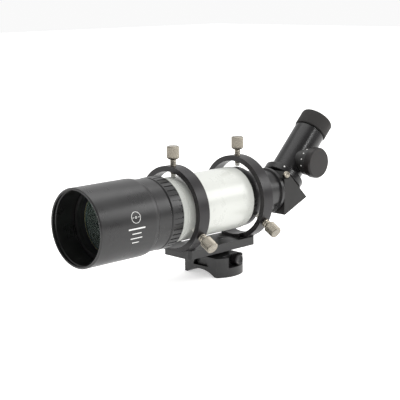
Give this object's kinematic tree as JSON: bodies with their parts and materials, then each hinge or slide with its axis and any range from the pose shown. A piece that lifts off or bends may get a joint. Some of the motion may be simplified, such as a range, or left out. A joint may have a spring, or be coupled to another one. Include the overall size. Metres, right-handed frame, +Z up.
{
  "type": "finder scope",
  "caption": "Refracting finder scope in adjusting rings on a dovetail rail and arched saddle, with an angled erecting diagonal and illuminated reticle eyepiece.",
  "frame": {"origin": "centre of the saddle's underside, at the height of its two lands", "axes": "+Y along the optical axis towards the observer, +Z up, +X to the dial's side"},
  "size_m": [0.115, 0.356, 0.1558],
  "materials": {
    "black_anodised": "satin black anodised",
    "grey_anodised": "dark grey anodised",
    "black_plastic": "fine moulded texture",
    "white_paint": "semi-gloss white enamel",
    "nickel": "satin nickel plate",
    "nylon": "smooth natural nylon",
    "steel": "zinc plated",
    "brass": "turned",
    "rubber": "matt moulded rubber",
    "optical_glass": "polished and coated"
  },
  "bodies": {
    "saddle": {"base_saddle": "black_anodised"},
    "clamp_plunger": {"clamp_plunger": "brass"},
    "clamp_knob": {"clamp_knob": "grey_anodised"},
    "scope": {"dovetail_foot": "black_anodised", "foot_bolts": "steel", "stop_screw": "steel", "ring_rail": "black_anodised", "front_ring": "grey_anodised", "rear_ring": "grey_anodised", "ring_bolts": "steel", "main_tube": "white_paint", "front_collar": "black_anodised", "baffle_front": "black_anodised", "baffle_rear": "black_anodised", "rear_cell": "black_anodised", "rear_adapter": "black_anodised"},
    "friction_washer": {"friction_washer": "nylon"},
    "objective": {"lens_cell": "black_anodised", "retaining_ring": "black_anodised", "crown_lens": "optical_glass", "lens_spacer": "brass", "flint_lens": "optical_glass", "dew_shield": "black_anodised"},
    "lock_ring": {"lock_ring": "black_anodised"},
    "diagonal": {"diagonal_flange": "black_anodised", "prism_housing": "grey_anodised", "prism_cover_right": "grey_anodised", "prism_cover_left": "grey_anodised", "prism": "optical_glass", "prism_pad": "rubber", "prism_spring": "steel"},
    "eyepiece_clamp_tip": {"eyepiece_clamp_tip": "brass"},
    "eyepiece_clamp_screw": {"eyepiece_clamp_screw": "nickel"},
    "barrel": {"eyepiece_barrel": "black_anodised"},
    "index_collar": {"index_collar": "black_anodised"},
    "eyepiece": {"eyepiece_body": "black_anodised", "field_lens": "optical_glass", "reticle": "optical_glass", "switch_housing": "black_plastic", "led": "optical_glass", "battery": "steel", "battery_spring": "brass"},
    "dial": {"dial_cap": "black_plastic"},
    "eye_cell": {"eye_cell": "black_anodised", "eye_lens": "optical_glass"},
    "eyecup": {"eyecup": "rubber"},
    "front_top_tip": {"front_top_tip": "nylon"},
    "front_top_screw": {"front_top_screw": "nickel"},
    "front_right_tip": {"front_right_tip": "nylon"},
    "front_right_screw": {"front_right_screw": "nickel"},
    "front_left_tip": {"front_left_tip": "nylon"},
    "front_left_screw": {"front_left_screw": "nickel"},
    "rear_top_tip": {"rear_top_tip": "nylon"},
    "rear_top_screw": {"rear_top_screw": "nickel"},
    "rear_right_tip": {"rear_right_tip": "nylon"},
    "rear_right_screw": {"rear_right_screw": "nickel"},
    "rear_left_tip": {"rear_left_tip": "nylon"},
    "rear_left_screw": {"rear_left_screw": "nickel"}
  },
  "joints": [
    {"name": "clamp_plunger_slide", "type": "slide", "parent": "saddle", "child": "clamp_plunger", "axis": [1, 0, 0], "range_m": [0, 0.0016]},
    {"name": "clamp_knob_turn", "type": "hinge", "parent": "clamp_plunger", "child": "clamp_knob", "pos_m": [0.025, 0.0088, 0.0152], "axis": [1, 0, 0], "range_deg": [0, 720]},
    {"name": "rail_slide", "type": "slide", "parent": "saddle", "child": "scope", "axis": [0, -1, 0], "range_m": [0, 0.03]},
    {"name": "front_top_tip_slide", "type": "slide", "parent": "scope", "child": "front_top_tip", "axis": [0, 0, 1], "range_m": [0, 0.0032]},
    {"name": "front_top_screw_turn", "type": "hinge", "parent": "front_top_tip", "child": "front_top_screw", "pos_m": [0, -0.05475, 0.129], "axis": [0, 0, 1], "range_deg": [0, 1440]},
    {"name": "front_right_tip_slide", "type": "slide", "parent": "scope", "child": "front_right_tip", "axis": [0.866, 0, -0.5], "range_m": [0, 0.0032]},
    {"name": "front_right_screw_turn", "type": "hinge", "parent": "front_right_tip", "child": "front_right_screw", "pos_m": [0.04763, -0.05475, 0.0465], "axis": [0.866, 0, -0.5], "range_deg": [0, 1440]},
    {"name": "front_left_tip_slide", "type": "slide", "parent": "scope", "child": "front_left_tip", "axis": [-0.866, 0, -0.5], "range_m": [0, 0.0032]},
    {"name": "front_left_screw_turn", "type": "hinge", "parent": "front_left_tip", "child": "front_left_screw", "pos_m": [-0.04763, -0.05475, 0.0465], "axis": [-0.866, 0, -0.5], "range_deg": [0, 1440]},
    {"name": "rear_top_tip_slide", "type": "slide", "parent": "scope", "child": "rear_top_tip", "axis": [0, 0, 1], "range_m": [0, 0.0032]},
    {"name": "rear_top_screw_turn", "type": "hinge", "parent": "rear_top_tip", "child": "rear_top_screw", "pos_m": [0, 0.03655, 0.129], "axis": [0, 0, 1], "range_deg": [0, 1440]},
    {"name": "rear_right_tip_slide", "type": "slide", "parent": "scope", "child": "rear_right_tip", "axis": [0.866, 0, -0.5], "range_m": [0, 0.0032]},
    {"name": "rear_right_screw_turn", "type": "hinge", "parent": "rear_right_tip", "child": "rear_right_screw", "pos_m": [0.04763, 0.03655, 0.0465], "axis": [0.866, 0, -0.5], "range_deg": [0, 1440]},
    {"name": "rear_left_tip_slide", "type": "slide", "parent": "scope", "child": "rear_left_tip", "axis": [-0.866, 0, -0.5], "range_m": [0, 0.0032]},
    {"name": "rear_left_screw_turn", "type": "hinge", "parent": "rear_left_tip", "child": "rear_left_screw", "pos_m": [-0.04763, 0.03655, 0.0465], "axis": [-0.866, 0, -0.5], "range_deg": [0, 1440]},
    {"name": "focus_travel", "type": "slide", "parent": "scope", "child": "friction_washer", "axis": [0, -1, 0], "range_m": [0, 0.006]},
    {"name": "focus_turn", "type": "hinge", "parent": "friction_washer", "child": "objective", "pos_m": [0, -0.13, 0.074], "axis": [0, -1, 0], "range_deg": [0, 2160]},
    {"name": "lock_ring_turn", "type": "hinge", "parent": "scope", "child": "lock_ring", "pos_m": [0, -0.081, 0.074], "axis": [0, -1, 0], "range_deg": [0, 90]},
    {"name": "diagonal_swivel", "type": "hinge", "parent": "scope", "child": "diagonal", "pos_m": [0, 0.0962, 0.074], "axis": [0, 1, 0], "continuous": true},
    {"name": "eyepiece_clamp_slide", "type": "slide", "parent": "diagonal", "child": "eyepiece_clamp_tip", "axis": [0.766, -0.4545, 0.4545], "range_m": [0, 0.0015]},
    {"name": "eyepiece_clamp_turn", "type": "hinge", "parent": "eyepiece_clamp_tip", "child": "eyepiece_clamp_screw", "pos_m": [0.02145, 0.08856, 0.09182], "axis": [0.766, -0.4545, 0.4545], "range_deg": [0, 1080]},
    {"name": "eyepiece_pull", "type": "slide", "parent": "diagonal", "child": "barrel", "axis": [0, 0.7071, 0.7071], "range_m": [0, 0.004]},
    {"name": "index_collar_turn", "type": "hinge", "parent": "barrel", "child": "index_collar", "pos_m": [0, 0.10822, 0.08602], "axis": [0, 0.7071, 0.7071], "continuous": true},
    {"name": "eyepiece_turn", "type": "hinge", "parent": "barrel", "child": "eyepiece", "pos_m": [0, 0.12448, 0.10228], "axis": [0, 0.7071, 0.7071], "continuous": true},
    {"name": "dial_turn", "type": "hinge", "parent": "eyepiece", "child": "dial", "pos_m": [0.03, 0.1247, 0.1025], "axis": [1, 0, 0], "range_deg": [0, 300]},
    {"name": "eye_cell_slide", "type": "slide", "parent": "eyepiece", "child": "eye_cell", "axis": [0, 0.7071, 0.7071], "range_m": [-0.0005, 0.003]},
    {"name": "eyecup_turn", "type": "hinge", "parent": "eye_cell", "child": "eyecup", "pos_m": [0, 0.15984, 0.13764], "axis": [0, 0.7071, 0.7071], "range_deg": [-90, 540]}
  ],
  "couplings": [
    {"joint": "clamp_knob_turn", "follows": "clamp_plunger_slide", "rad_per_m": 7854},
    {"joint": "front_top_screw_turn", "follows": "front_top_tip_slide", "rad_per_m": 7854},
    {"joint": "front_right_screw_turn", "follows": "front_right_tip_slide", "rad_per_m": 7854},
    {"joint": "front_left_screw_turn", "follows": "front_left_tip_slide", "rad_per_m": 7854},
    {"joint": "rear_top_screw_turn", "follows": "rear_top_tip_slide", "rad_per_m": 7854},
    {"joint": "rear_right_screw_turn", "follows": "rear_right_tip_slide", "rad_per_m": 7854},
    {"joint": "rear_left_screw_turn", "follows": "rear_left_tip_slide", "rad_per_m": 7854},
    {"joint": "focus_travel", "follows": "focus_turn", "m_per_rad": 0.00015915},
    {"joint": "eyepiece_clamp_turn", "follows": "eyepiece_clamp_slide", "rad_per_m": 12566},
    {"joint": "eyecup_turn", "follows": "eye_cell_slide", "rad_per_m": 3141.6}
  ]
}
